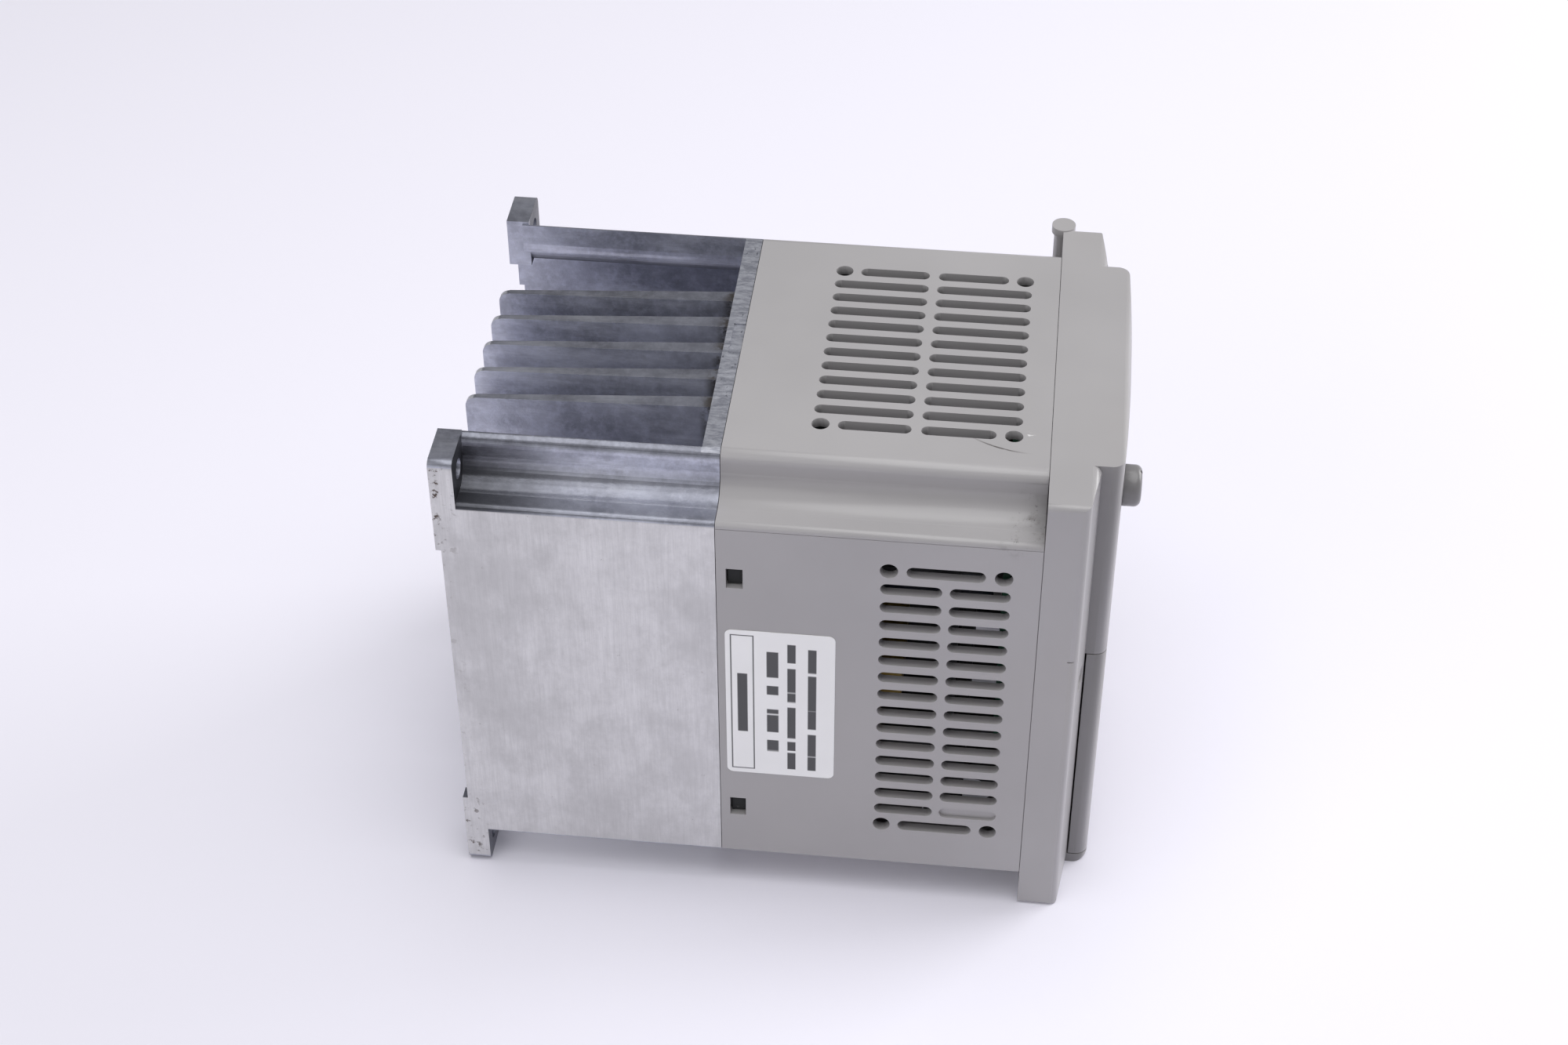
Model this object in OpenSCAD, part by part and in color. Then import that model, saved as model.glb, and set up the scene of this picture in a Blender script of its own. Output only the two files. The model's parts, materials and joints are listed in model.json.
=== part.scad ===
// Compact wall-mounted motor drive: finned die-cast heat sink, vented plastic
// housing and a hinged front cover with an operator panel and a keypad door.
// Frame: origin at the centre of the four mounting holes on the rear plane,
// X to the right as seen from the front, the front faces -Y, Z up.

/* [Case] */
// Width over the side faces
case_w = 110; // [100:0.5:116]
// Height of the case top above the origin
case_top = 64.4; // [62:0.1:66]
// Height of the case bottom, below the origin
case_bottom = -54; // [-56:0.5:-52]
// Depth of the heat sink, from the mounting plane to the housing
sink_depth = 65; // [55:0.5:75]
// Depth of the plastic housing
housing_depth = 74.5; // [70:0.5:90]
// Wall thickness of the housing
wall = 2.5; // [2:0.1:3]

/* [Corner channels] */
// Width of the screwdriver channel along each upper corner
channel_w = 11; // [9:0.5:12]
// Height of the floor of that channel below the case top
channel_drop = 11.5; // [10:0.5:13]
// Radius of the channel's hollow
channel_r = 6; // [4:0.5:7]

/* [Heat sink] */
// Thickness of the base plate
base_t = 4.2; // [4:0.1:6]
// Number of cooling fins
fin_count = 5; // [3:1:5]
// Distance between two fins
fin_pitch = 10.6; // [8:0.1:10.8]
// Thickness of a fin at its root
fin_root_t = 4.1; // [3:0.1:5]
// Thickness of a fin at its tip
fin_tip_t = 1.4; // [1:0.1:2.5]
// Thickness of the outer walls
sink_wall = 3.5; // [3:0.1:5]

/* [Mounting] */
// Distance between the mounting holes across the width
hole_span_x = 98; // [90:0.5:98]
// Distance between the mounting holes up the height
hole_span_z = 118; // [116:0.5:119]
// Radius of a mounting hole
hole_r = 2.5; // [2:0.1:3]
// Thickness of a mounting foot
foot_t = 5.65; // [4:0.05:7]
// Width of a mounting foot
foot_w = 12.65; // [12:0.05:14]
// Top of the upper feet
foot_top = 65; // [64.5:0.1:66]
// Lower end of the lower feet
foot_bottom = -64.5; // [-66:0.1:-64]

/* [Grilles] */
// Width of a ventilation slot
slot_w = 3.15; // [2:0.05:3.5]
// Distance between the slots of the top grille
top_pitch = 5.56; // [5:0.01:6]
// Distance between the slots of the side grilles
side_pitch = 5.5; // [5:0.01:5.6]
// Radius of the round hole at each corner of a grille
corner_hole_r = 2.1; // [1.5:0.1:2.2]

/* [Front cover] */
// Lower edge of the cover
cover_bottom = -64.9; // [-66:0.1:-64]
// Depth of the cover's side strips at their inner edge
strip_depth = 11.65; // [11:0.05:12.5]
// Depth of the raised panel at its middle
panel_depth = 17.7; // [16.9:0.1:18.3]
// Half width of the raised panel
panel_half = 39.3; // [38.5:0.1:40]
// Height at which the operator panel ends and the keypad door starts
split_z = 7.2; // [5:0.1:9]

/* [Knob] */
// Radius of the speed knob
knob_r = 4.85; // [4:0.05:6]
// Height of the knob above its seat in the panel
knob_out = 4.3; // [3:0.05:5]

/* [Hidden] */
$fn = 48;

half_w = case_w / 2;
joint_y = -sink_depth;
seam_y = joint_y - housing_depth;
channel_x = half_w - channel_w;
hollow_x = half_w - channel_w + channel_r;
hollow_z = case_top - channel_drop + channel_r;
floor_z = case_top - channel_drop;
edge_r = 1.5;
ridge_r = 2.7;
seam_gap = 0.15;
seam_land = 1;
sink_hole_l = 3.3;
sink_thread_l = 2.9;
pad_recess = 1.3;
fin_recess = 1.7;
fin_tip_drop = 6;
fin_root_drop = 3;

// Rows of the grilles: ends of the two slot columns, measured along the depth
top_rows = 12;
side_rows = 14;
top_cols = [[-84.6, -107.6], [-109.6, -132.7]];
side_cols = [[-102.9, -117.1], [-118.8, -132.7]];
side_mid_z = 1.15;

// Circuit boards
board_t = 1.6;
power_board_y = -90;
power_board_front = power_board_y - board_t;
control_board_y = -130.6;
control_board_front = control_board_y - board_t;
board_half_w = 49;
board_hole = [43, 43];

// Hinge of the front cover
post_x = half_w + 1.2;
post_r = 2.3;
post_head_r = 2.95;
post_head_h = 2;
ear_r = 4.4;
ear_h = 7;
ear_gap = 0.4;
ear_z = [43.5, -50.5];

// Hinge of the keypad door
barrel_r = 3;
barrel_x = panel_half - barrel_r;
panel_arc_r = 744;
barrel_d = panel_depth - barrel_x * barrel_x / (2 * panel_arc_r) - barrel_r;
pivot_r = 1.2;
pivot_l = 2;
door_gap = 0.4;
lip_top = -62.2;
trough_gap = 0.3;

// Operator panel
skin_t = 3;
operator_board_d = 3.4;
knob_x = -31;
knob_z = 52.8;
upper_keys = [[-8, 19], [22, 19]];
lower_keys = [[-25.5, -6], [-8.5, -6], [8.5, -6], [25.5, -6]];
upper_key_size = [17, 9];
lower_key_size = [12, 8];
key_gap = 0.3;
key_travel_room = 0.75;
window_x = [-16, 29];
window_z = [38, 56];
lamp_x = 33.5;
lamp_z = [40, 44.5, 49, 53.5];

// ---------- shared shapes ----------

// Box between two corners
module block(a, b) {
    translate(a) cube(b - a);
}

// Outline drawn in X and Z, extruded from y0 to y1 (y0 < y1)
module along_y(y0, y1) {
    translate([0, y1, 0]) rotate([90, 0, 0]) linear_extrude(y1 - y0) children();
}

// Outline drawn in Y and Z, extruded from x0 to x1
module along_x(x0, x1) {
    translate([x0, 0, 0]) rotate([90, 0, 90]) linear_extrude(x1 - x0) children();
}

// Round bar along Y
module bar_y(r, x, z, y0, y1) {
    translate([x, y1, z]) rotate([90, 0, 0]) cylinder(r = r, h = y1 - y0);
}

// Rectangle from corner a to corner b
module rect(a, b) {
    translate(a) square(b - a);
}

// Rectangle with round corners
module soft_rect(a, b, r) {
    rect([a.x + r, a.y], [b.x - r, b.y]);
    rect([a.x, a.y + r], [b.x, b.y - r]);
    for (x = [a.x + r, b.x - r], y = [a.y + r, b.y - r])
        translate([x, y]) circle(r = r);
}

// Slot with round ends, from u0 to u1 along the first axis
module slot2d(u0, u1, v, w) {
    rect([min(u0, u1) + w / 2, v - w / 2], [max(u0, u1) - w / 2, v + w / 2]);
    for (u = [min(u0, u1) + w / 2, max(u0, u1) - w / 2])
        translate([u, v]) circle(d = w);
}

// Pan-head screw whose head sits on the plane y, on the front side, shank to the rear
module screw_y(x, z, y, shank_r, shank_l, head_r, head_h) {
    difference() {
        union() {
            bar_y(shank_r, x, z, y, y + shank_l);
            bar_y(head_r, x, z, y - head_h, y);
        }
        block([x - head_r * 0.7, y - head_h - 1, z - 0.3], [x + head_r * 0.7, y - head_h * 0.45, z + 0.3]);
        block([x - 0.3, y - head_h - 1, z - head_r * 0.7], [x + 0.3, y - head_h * 0.45, z + head_r * 0.7]);
    }
}

// Cut that shapes one upper corner channel; grow widens the solid left around it
module channel_cut(grow) {
    rect([channel_x - grow, hollow_z], [half_w + 10, case_top + 10]);
    rect([hollow_x, floor_z - grow], [half_w + 10, case_top + 10]);
    translate([hollow_x, hollow_z]) circle(r = channel_r + grow);
}

// Small quarter that takes the sharp corner off; centre is the arc's centre
module corner_off(centre, sx, sz, r) {
    difference() {
        rect([min(centre.x, centre.x + sx * (r + 1)), min(centre.y, centre.y + sz * (r + 1))],
            [max(centre.x, centre.x + sx * (r + 1)), max(centre.y, centre.y + sz * (r + 1))]);
        translate(centre) circle(r = r);
    }
}

// Outer outline of the case in X and Z
module case_outline() {
    difference() {
        rect([-half_w, case_bottom], [half_w, case_top]);
        for (side = [0, 1]) mirror([side, 0]) {
            channel_cut(0);
            corner_off([half_w - edge_r, floor_z - edge_r], 1, 1, edge_r);
            corner_off([channel_x - ridge_r, case_top - ridge_r], 1, 1, ridge_r);
            corner_off([half_w - 1, case_bottom + 1], 1, -1, 1);
        }
    }
}

// Outline of the case drawn in by the distance t all round
module inset_outline(t) {
    difference() {
        rect([-half_w + t, case_bottom + t], [half_w - t, case_top - t]);
        for (side = [0, 1]) mirror([side, 0]) channel_cut(t);
    }
}

// Ring cut that leaves a shadow line round one end of the housing
module shadow_line(y0, y1) {
    along_y(y0, y1) difference() {
        rect([-half_w - 1, case_bottom - 1], [half_w + 1, case_top + 1]);
        inset_outline(seam_land);
    }
}

// ---------- heat sink ----------

function fin_x(i) = (i - (fin_count - 1) / 2) * fin_pitch;

// Plan of one tapered fin, X and Y
module fin_plan(x) {
    root_y = joint_y + base_t - 0.5;
    polygon([[x - fin_root_t / 2, root_y], [x + fin_root_t / 2, root_y],
        [x + fin_tip_t / 2, -fin_recess], [x - fin_tip_t / 2, -fin_recess]]);
}

// Side view of a fin, Y and Z, drafted at both ends with round rear corners
module fin_side() {
    root_y = joint_y + base_t - 1;
    r = 2.5;
    top = case_top - fin_tip_drop;
    low = case_bottom + fin_tip_drop;
    difference() {
        polygon([[root_y, case_bottom + fin_root_drop], [-fin_recess, low], [-fin_recess, top],
            [root_y, case_top - fin_root_drop]]);
        corner_off([-fin_recess - r, top - r], 1, 1, r);
        corner_off([-fin_recess - r, low + r], 1, -1, r);
    }
}

// Side wall of the heat sink that follows the corner channel, X and Z
module sink_wall_outline() {
    intersection() {
        case_outline();
        difference() {
            rect([0, case_bottom], [half_w, case_top]);
            difference() {
                rect([-1, case_bottom - 1], [half_w - sink_wall, case_top + 1]);
                difference() {
                    channel_cut(2.2);
                    rect([-1, case_bottom - 1], [channel_x - 2.2, case_top + 1]);
                }
            }
        }
    }
}

module feet() {
    inner = half_w - foot_w;
    r = 2;
    difference() {
        union() {
            along_y(-foot_t, 0) difference() {
                rect([inner, floor_z - 1], [half_w, foot_top]);
                corner_off([half_w - r, foot_top - r], 1, 1, r);
            }
            along_y(-foot_t, 0) difference() {
                rect([inner, foot_bottom], [half_w, -45]);
                corner_off([half_w - r, foot_bottom + r], 1, -1, r);
            }
            block([half_w - sink_wall, -foot_t, 39.1], [half_w, 0, floor_z]);
            block([half_w - sink_wall, -foot_t, case_bottom], [half_w, 0, -42.4]);
        }
        for (z = [-hole_span_z / 2, hole_span_z / 2])
            bar_y(hole_r, hole_span_x / 2, z, -foot_t - 1, 1);
    }
}

module heat_sink() color([0.62, 0.64, 0.68]) difference() {
    union() {
        along_y(joint_y, joint_y + base_t) case_outline();
        for (side = [0, 1]) mirror([side, 0, 0]) {
            along_y(joint_y + base_t - 1, -pad_recess) sink_wall_outline();
            feet();
        }
        for (i = [0 : fin_count - 1]) intersection() {
            translate([0, 0, case_bottom]) linear_extrude(case_top - case_bottom) fin_plan(fin_x(i));
            along_x(fin_x(i) - fin_pitch / 2, fin_x(i) + fin_pitch / 2) fin_side();
        }
    }
    for (side = [0, 1]) mirror([side, 0, 0])
        // the upper wall ends short of the mounting plane between the feet
        block([channel_x - 3, -4, floor_z - 8], [half_w - foot_w, 1, case_top + 1]);
    // shallow step in the top of the base plate
    block([-6, joint_y - 1, case_top - 0.5], [6, joint_y + 2.8, case_top + 1]);
    for (p = module_screw_at) bar_y(1.6, p.x, p.y, joint_y - 1, joint_y + sink_hole_l);
    for (x = [-board_hole.x, board_hole.x], z = [-board_hole.y, board_hole.y])
        bar_y(1.6, x, z, joint_y - 1, joint_y + sink_hole_l);
    for (p = frame_screw_at) bar_y(1.3, p.x, p.y, joint_y - 1, joint_y + sink_hole_l);
}

// ---------- power section ----------

module_half = [36, 22];
module_t = 17;
module_step = 9;
pad_t = 0.5;
module_front = joint_y - pad_t - module_t;
module_screw_at = [[-32, 0], [32, 0]];
frame_screw_at = [[-47.5, 20], [-47.5, -20], [47.5, 20], [47.5, -20]];
frame_t = 2;
tongue_z = [[33.9, 39.7], [-40.7, -34.9]];
window_y = [-71.3, -67.4];

// Plastic frame on the base plate; its four tongues click into the housing windows
module base_frame() color([0.22, 0.23, 0.25]) {
    inner_x = half_w - wall - 0.2;
    difference() {
        union() {
            block([-inner_x, joint_y - frame_t, -48.5], [-inner_x + 9, joint_y, 48.5]);
            block([inner_x - 9, joint_y - frame_t, -48.5], [inner_x, joint_y, 48.5]);
            for (z = [[-48.5, -37.5], [37.5, 48.5]])
                block([-inner_x, joint_y - frame_t, z[0]], [inner_x, joint_y, z[1]]);
            for (side = [0, 1], t = tongue_z) mirror([side, 0, 0]) {
                block([inner_x - 1.5, -75, t[0] + 0.4], [inner_x, joint_y, t[1] - 0.4]);
                block([inner_x - 1, window_y[0] + 0.3, t[0] + 0.4],
                    [inner_x + 1.3, window_y[1] - 0.3, t[1] - 0.4]);
            }
        }
        for (p = frame_screw_at) bar_y(1.3, p.x, p.y, joint_y - frame_t - 1, joint_y + 1);
        for (x = [-board_hole.x, board_hole.x], z = [-board_hole.y, board_hole.y])
            bar_y(3.3, x, z, joint_y - frame_t - 1, joint_y + 1);
    }
}

module base_frame_screws() color("silver")
    for (p = frame_screw_at) screw_y(p.x, p.y, joint_y - frame_t, 1.3, frame_t + sink_thread_l, 2.4, 1.6);

module thermal_pad() color("lightgray") difference() {
    block([-module_half.x, joint_y - pad_t, -module_half.y], [module_half.x, joint_y, module_half.y]);
    for (p = module_screw_at) bar_y(2.2, p.x, p.y, joint_y - pad_t - 1, joint_y + 1);
}

module power_module() color([0.12, 0.12, 0.13]) difference() {
    union() {
        block([-module_half.x, module_front + module_step, -module_half.y],
            [module_half.x, joint_y - pad_t, module_half.y]);
        block([-module_half.x + 8, module_front, -module_half.y],
            [module_half.x - 8, module_front + 10, module_half.y]);
    }
    for (p = module_screw_at) bar_y(2.2, p.x, p.y, module_front, joint_y);
    for (x = pin_x, z = pin_z) bar_y(0.5, x, z, module_front - 1, module_front + 3);
}

module module_screws() color("silver")
    for (p = module_screw_at) {
        ear_t = module_t - module_step;
        screw_y(p.x, p.y, module_front + module_step, 1.6, ear_t + pad_t + sink_thread_l, 3.2, 2.4);
    }

pin_x = [-24, -16, -8, 0, 8, 16, 24];
pin_z = [-19, 19];

module module_pins() color("gainsboro")
    for (x = pin_x, z = pin_z) bar_y(0.5, x, z, power_board_front, module_front + 3);

module power_board() color([0.1, 0.38, 0.22]) difference() {
    block([-board_half_w, power_board_front, -49], [board_half_w, power_board_y, 47]);
    for (x = [-board_hole.x, board_hole.x], z = [-board_hole.y, board_hole.y])
        bar_y(1.6, x, z, power_board_front - 1, power_board_y + 1);
    for (x = pin_x, z = pin_z) bar_y(0.5, x, z, power_board_front - 1, power_board_y + 1);
}

module board_standoffs() color("darkgoldenrod")
    for (x = [-board_hole.x, board_hole.x], z = [-board_hole.y, board_hole.y]) difference() {
        union() {
            translate([x, joint_y, z]) rotate([90, 0, 0])
                cylinder(r = 3, h = joint_y - power_board_y, $fn = 6);
            bar_y(1.6, x, z, joint_y, joint_y + sink_thread_l);
        }
        bar_y(1.25, x, z, power_board_y - 1, power_board_y + 8);
    }

module board_screws() color("silver")
    for (x = [-board_hole.x, board_hole.x], z = [-board_hole.y, board_hole.y])
        screw_y(x, z, power_board_front, 1.25, board_t + 6, 2.8, 2);

// Electrolytic capacitor with a grooved can and a vent cross
module capacitor(x, z) difference() {
    bar_y(12.3, x, z, -128.5, power_board_front);
    translate([x, power_board_front - 3, z]) rotate([90, 0, 0]) rotate_extrude()
        translate([12.6, 0]) circle(r = 0.9);
    block([x - 7, -129.5, z - 0.3], [x + 7, -128.1, z + 0.3]);
    block([x - 0.3, -129.5, z - 7], [x + 0.3, -128.1, z + 7]);
}

module bus_capacitor_left() color([0.1, 0.13, 0.2]) capacitor(-30, 30);
module bus_capacitor_right() color([0.1, 0.13, 0.2]) capacitor(-4, 30);

module film_capacitor() color([0.75, 0.62, 0.2])
    block([-44, -108, -8], [-18, power_board_front, 2]);

module choke_core() color([0.2, 0.2, 0.2])
    translate([-6, power_board_front - 7.2, -9]) rotate([90, 0, 0]) rotate_extrude()
        translate([4.5, -4]) square([4.5, 8]);

// Turns of thick wire round the ring core
module choke_winding() color([0.7, 0.35, 0.15])
    for (a = [30 : 30 : 150], s = [0, 180])
        translate([-6, power_board_front - 7.2, -9]) rotate([0, a + s, 0]) translate([6.75, 0, 0])
            difference() {
                block([-3.5, -5.4, -0.7], [3.5, 5.4, 0.7]);
                block([-2.4, -4.1, -2], [2.4, 4.1, 2]);
            }

module transformer_core() color([0.25, 0.25, 0.26]) difference() {
    block([14, -111, 12], [40, power_board_front - 3, 34]);
    block([18, -112, 17], [36, power_board_front, 29]);
}

module transformer_bobbin() color([0.85, 0.75, 0.3])
    block([18.2, -109, 17.2], [35.8, power_board_front, 28.8]);

module inrush_relay() color([0.9, 0.9, 0.88])
    block([22, -110, -12], [40, power_board_front, 3]);

// Screw terminals for the supply and the motor
terminal_count = 9;
terminal_pitch = 8.6;
terminal_half = 39.5;
terminal_front = -124;

function terminal_x(i) = (i - (terminal_count - 1) / 2) * terminal_pitch;

module power_terminal_block() color([0.13, 0.13, 0.14]) difference() {
    union() {
        block([-terminal_half, -112, -46], [terminal_half, power_board_front, -28]);
        block([-terminal_half, terminal_front, -33.5], [terminal_half, -110, -28]);
        for (i = [0 : terminal_count]) {
            x = -terminal_count * terminal_pitch / 2 + i * terminal_pitch;
            block([x - 0.8, terminal_front, -46], [x + 0.8, -110, -28]);
        }
    }
    for (i = [0 : terminal_count - 1]) bar_y(1.75, terminal_x(i), -39.5, -113, -102);
}

module terminal_clamps() color("gainsboro")
    for (i = [0 : terminal_count - 1]) difference() {
        block([terminal_x(i) - 3.3, -113.2, -44.5], [terminal_x(i) + 3.3, -112, -34.2]);
        bar_y(1.75, terminal_x(i), -39.5, -114, -111);
    }

module power_terminal_screws() color("silver")
    for (i = [0 : terminal_count - 1]) screw_y(terminal_x(i), -39.5, -113.2, 1.75, 10, 3, 2.4);

module charge_lamp() color("crimson") {
    bar_y(1.5, 42.5, -22, -98, power_board_front);
    translate([42.5, -98, -22]) sphere(r = 1.5);
}

// ---------- control section ----------

control_hole = [[-46.5, 40], [46.5, 40], [-46.5, -12], [46.5, -12]];
socket_x = [-37, -19];
socket_z = [-14, -7];

// Tray that carries the control board; it stands on the housing's side ribs
module board_carrier() color([0.25, 0.26, 0.28]) difference() {
    union() {
        for (p = control_hole)
            bar_y(3, p.x, p.y, control_board_y, -118);
        for (x = [-48, 48]) block([x - 2.5, -121, -15], [x + 2.5, -118, 43]);
        block([-46, -121, -15.5], [46, -118, -11]);
        for (x = [-47.2, 47.2], z = [-17, 36])
            block([x - 1.7, -121, z - 2.5], [x + 1.7, power_board_front, z + 2.5]);
    }
    for (p = control_hole) bar_y(1.2, p.x, p.y, control_board_y - 1, -121);
}

module control_board() color([0.08, 0.35, 0.2]) difference() {
    block([-49, control_board_front, -15.5], [49, control_board_y, 43]);
    for (p = control_hole) bar_y(1.25, p.x, p.y, control_board_front - 1, control_board_y + 1);
}

module control_board_screws() color("silver")
    for (p = control_hole) screw_y(p.x, p.y, control_board_front, 1.2, board_t + 6, 2.5, 1.7);

chip_at = [7, 17];
chip_half = 9;
chip_legs = 16;
leg_pitch = 1.07;

// Square chip with a row of legs along each side
module microcontroller() color([0.1, 0.1, 0.11]) translate([chip_at.x, control_board_front, chip_at.y]) {
    block([-chip_half, -2.2, -chip_half], [chip_half, -0.3, chip_half]);
    for (turn = [0 : 90 : 270], k = [0 : chip_legs - 1]) rotate([0, turn, 0]) {
        u = (k - (chip_legs - 1) / 2) * leg_pitch;
        block([u - 0.2, -0.9, chip_half - 0.1], [u + 0.2, 0, chip_half + 1.4]);
    }
}

control_terminal_count = 12;
control_terminal_pitch = 5;

function control_x(i) = -14.2 + i * control_terminal_pitch;

module control_terminal_block() color([0.15, 0.45, 0.25]) difference() {
    block([-17.2, control_board_front - 7, -15.3], [43.8, control_board_front, -5.5]);
    for (i = [0 : control_terminal_count - 1]) {
        bar_y(1.7, control_x(i), -8.6, control_board_front - 8, control_board_front - 3);
        block([control_x(i) - 1.6, control_board_front - 5.2, -16],
            [control_x(i) + 1.6, control_board_front - 1.8, -12]);
    }
}

module control_terminal_screws() color("silver")
    for (i = [0 : control_terminal_count - 1]) difference() {
        bar_y(1.5, control_x(i), -8.6, control_board_front - 6, control_board_front - 3);
        block([control_x(i) - 2, control_board_front - 7, -8.85],
            [control_x(i) + 2, control_board_front - 5.4, -8.35]);
    }

// Header that joins the two boards
module board_link_header() color([0.12, 0.12, 0.13])
    block([40.8, control_board_y, 5], [44.8, power_board_front, 33]);

// Socket that takes the operator panel's plug when the cover is shut
module operator_socket() color([0.92, 0.9, 0.84]) difference() {
    block([socket_x[0], control_board_front - 8, socket_z[0]],
        [socket_x[1], control_board_front, socket_z[1]]);
    block([socket_x[0] + 1.2, control_board_front - 9, socket_z[0] + 1.2],
        [socket_x[1] - 1.2, control_board_front - 2, socket_z[1] - 1.2]);
}

// ---------- housing ----------

function top_x(i) = (i - (top_rows - 1) / 2) * top_pitch;
function side_z(i) = side_mid_z + ((side_rows - 1) / 2 - i) * side_pitch;

// Top grille, drawn with the depth along the first axis and X along the second
module top_grille(cols) {
    last = top_rows - 1;
    for (i = [1 : last - 1], c = cols) slot2d(c[0], c[1], top_x(i), slot_w);
    for (i = [0, last]) {
        slot2d(-90.6, -107.5, top_x(i), slot_w);
        slot2d(-109.7, -126.9, top_x(i), slot_w);
        for (y = [-86.6, -130.9]) translate([y, top_x(i)]) circle(r = corner_hole_r);
    }
}

// Bottom grille, one column of slots behind the cable entry
module bottom_grille() {
    for (i = [0 : top_rows - 1]) slot2d(-84.6, -107.6, top_x(i), slot_w);
}

// Side grille in depth and height; the last slot of the front column stays closed
module side_grille() {
    for (i = [0 : side_rows - 1], c = [0, 1])
        if (i < side_rows - 1 || c == 0) slot2d(side_cols[c][0], side_cols[c][1], side_z(i), slot_w);
    for (i = [-1, side_rows]) {
        slot2d(-108.8, -126.8, side_z(i), slot_w);
        for (y = [-104.8, -130.9]) translate([y, side_z(i)]) circle(r = corner_hole_r);
    }
}

// Ear that clips round the cover's hinge post
module hinge_ear(z) difference() {
    union() {
        translate([post_x, seam_y, z]) cylinder(r = ear_r, h = ear_h);
        block([half_w - wall, seam_y, z], [post_x, seam_y + ear_r, z + ear_h]);
    }
    translate([post_x, seam_y, z - 1]) cylinder(r = post_r + 0.06, h = ear_h + 2);
    block([post_x, seam_y - 1.6, z - 1], [post_x + 10, seam_y + 1.6, z + ear_h + 1]);
}

module body_housing() color([0.71, 0.7, 0.68]) {
    difference() {
        along_y(seam_y, joint_y) case_outline();
        along_y(seam_y - 1, joint_y + 1) inset_outline(wall);
        shadow_line(seam_y - 1, seam_y + seam_gap);
        shadow_line(joint_y - seam_gap, joint_y + 1);
        translate([0, 0, case_top - wall - 1]) rotate([0, 0, 90]) mirror([0, 1, 0])
            linear_extrude(wall + 2) top_grille(top_cols);
        translate([0, 0, case_bottom - 1]) rotate([0, 0, 90]) mirror([0, 1, 0])
            linear_extrude(wall + 2) bottom_grille();
        for (x = [-half_w - 1, half_w - wall - 1]) along_x(x, x + wall + 2) side_grille();
        for (x = [-half_w - 1, half_w - 0.8]) along_x(x, x + 1.8)
            slot2d(side_cols[1][0], side_cols[1][1], side_z(side_rows - 1), slot_w);
        for (side = [0, 1], t = tongue_z) mirror([side, 0, 0])
            block([half_w - wall - 1, window_y[0], t[0]], [half_w + 1, window_y[1], t[1]]);
        // parting groove below each corner channel
        for (side = [0, 1]) mirror([side, 0, 0])
            block([half_w - 0.1, seam_y - 1, floor_z - edge_r - 0.15],
                [half_w + 1, joint_y + 1, floor_z - edge_r + 0.05]);
        // cable opening in the floor
        block([-entry_half, entry_y[0], case_bottom - 1], [entry_half, entry_y[1], case_bottom + wall + 1]);
        // relief for the hinge post
        translate([post_x, seam_y, -80]) cylinder(r = post_r + 0.5, h = 160);
    }
    for (z = ear_z) hinge_ear(z);
    // ledges that hold the cable entry plate
    for (side = [0, 1]) mirror([side, 0, 0])
        block([entry_half - 1.5, entry_y[0] - 1, case_bottom + wall],
            [entry_half + 3, entry_y[1] + 1, case_bottom + wall + 1.5]);
}

entry_half = 42;
entry_y = [-137, -114];
entry_holes = [-30, -10, 10, 30];

// Plate with cable holes that closes the opening in the floor
module cable_entry_plate() color([0.3, 0.3, 0.31]) difference() {
    union() {
        block([-entry_half + 0.3, entry_y[0] + 0.3, case_bottom],
            [entry_half - 0.3, entry_y[1] - 0.3, case_bottom + wall]);
        for (x = entry_holes) translate([x, -125.5, case_bottom]) cylinder(r = 8.2, h = wall + 2.5);
    }
    for (x = entry_holes) translate([x, -125.5, case_bottom - 1]) cylinder(r = 6.5, h = wall + 5);
}

module side_label() color("white")
    along_x(-half_w - 0.15, -half_w) soft_rect([-92.9, -25.6], [-66.9, 21.1], 1.6);

// ---------- front cover ----------

// Everything on the cover is drawn as depth d in front of the seam
function front(d) = seam_y - d;

// Plan outline, X and depth, extruded between two heights
module plan(z0, z1) {
    translate([0, seam_y, z0]) linear_extrude(z1 - z0) mirror([0, 1]) children();
}

// Side outline, depth and height, extruded across the width
module profile(x0, x1) {
    translate([x0, seam_y, 0]) rotate([90, 0, 90]) linear_extrude(x1 - x0) mirror([1, 0]) children();
}

strip_edge_r = 2.2;
cover_corner_r = 1.5;
strip_edge_d = 7.6;
dimple_at = [-45.7, 4.8];
mark_z = 18.3;

module strip_plan() {
    x1 = half_w - strip_edge_r;
    polygon([[-x1, 0], [x1, 0], [x1, strip_edge_d + strip_edge_r], [panel_half, strip_depth],
        [-panel_half, strip_depth], [-x1, strip_edge_d + strip_edge_r]]);
    rect([-half_w, 0], [half_w, strip_edge_d]);
    for (x = [-x1, x1]) translate([x, strip_edge_d]) circle(r = strip_edge_r);
}

// Depth of the raised panel's shallow arc at a distance x from the middle
function arc_d(x) = panel_depth - x * x / (2 * panel_arc_r);

// Plan of the raised panel: round corners under one shallow arc
module panel_plan(inset) {
    half = panel_half - inset;
    flats = 14;
    step = 2 * barrel_x / flats;
    polygon(concat([[-barrel_x, 4]],
        [for (i = [0 : flats]) [-barrel_x + i * step, arc_d(-barrel_x + i * step) - inset]],
        [[barrel_x, 4]]));
    rect([-half, 4], [half, barrel_d]);
    if (inset < barrel_r)
        for (x = [-barrel_x, barrel_x]) translate([x, barrel_d]) circle(r = barrel_r - inset);
}

// Side profile with rounded front corners at the top and the bottom
module rounded_profile(d, z0, z1, r_low, r_high) {
    difference() {
        rect([0, z0], [d, z1]);
        corner_off([d - r_low, z0 + r_low], 1, -1, r_low);
        corner_off([d - r_high, z1 - r_high], 1, 1, r_high);
    }
}

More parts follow.
